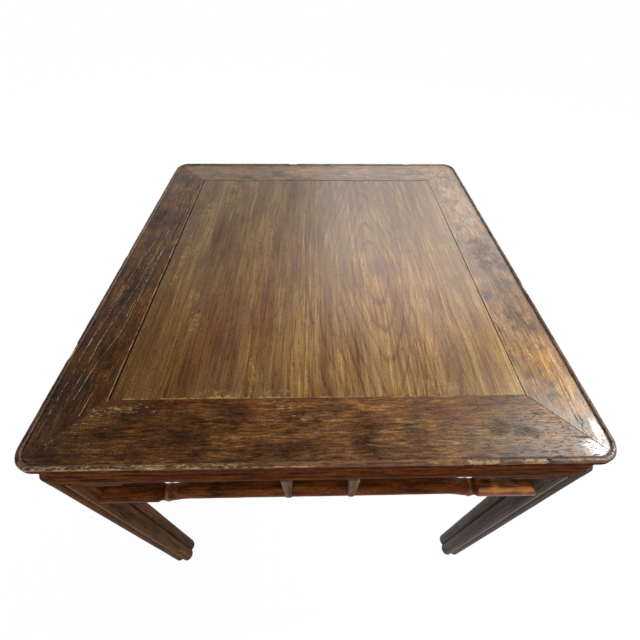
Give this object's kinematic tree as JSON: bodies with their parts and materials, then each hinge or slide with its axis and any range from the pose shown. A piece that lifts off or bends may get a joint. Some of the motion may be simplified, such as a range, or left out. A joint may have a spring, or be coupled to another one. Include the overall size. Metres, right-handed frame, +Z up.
{
  "type": "square dining table",
  "caption": "Square waistless wooden table with lobed legs, cane-moulded aprons, humpback stretchers with short struts, small spandrels and a mitred top with a floating panel.",
  "frame": {"origin": "middle of the floor under the table", "axes": "+Z up, the front side towards -Y, the panel boards run along Y"},
  "size_m": [0.9, 0.9, 0.875],
  "materials": {
    "frame_wood": "worn dark lacquer, satin",
    "panel_wood": "worn lacquer, satin",
    "batten_wood": "bare planed wood, matt",
    "rail_wood": "red-brown lacquer, satin",
    "stretcher_wood": "red-brown lacquer worn to orange, satin",
    "leg_wood": "worn grey-brown lacquer, satin",
    "strut_wood": "grey worn wood, matt",
    "peg_wood": "bare split wood, matt"
  },
  "bodies": {
    "root": {"frame_front": "frame_wood", "frame_right": "frame_wood", "frame_back": "frame_wood", "frame_left": "frame_wood", "panel_board_left": "panel_wood", "panel_board_middle": "panel_wood", "panel_board_right": "panel_wood", "batten_front": "batten_wood", "batten_middle": "batten_wood", "batten_back": "batten_wood", "under_edge_strip_front": "rail_wood", "apron_front": "rail_wood", "stretcher_front": "stretcher_wood", "spandrel_front_a": "rail_wood", "strut_front_a": "strut_wood", "spandrel_front_b": "rail_wood", "strut_front_b": "strut_wood", "under_edge_strip_right": "rail_wood", "apron_right": "rail_wood", "stretcher_right": "stretcher_wood", "spandrel_right_a": "rail_wood", "strut_right_a": "strut_wood", "spandrel_right_b": "rail_wood", "strut_right_b": "strut_wood", "under_edge_strip_back": "rail_wood", "apron_back": "rail_wood", "stretcher_back": "stretcher_wood", "spandrel_back_a": "rail_wood", "strut_back_a": "strut_wood", "spandrel_back_b": "rail_wood", "strut_back_b": "strut_wood", "under_edge_strip_left": "rail_wood", "apron_left": "rail_wood", "stretcher_left": "stretcher_wood", "spandrel_left_a": "rail_wood", "strut_left_a": "strut_wood", "spandrel_left_b": "rail_wood", "strut_left_b": "strut_wood", "leg_front_left": "leg_wood", "leg_front_right": "leg_wood", "leg_back_right": "leg_wood", "leg_back_left": "leg_wood", "frame_pegs": "peg_wood", "strip_pegs": "peg_wood"}
  },
  "joints": []
}
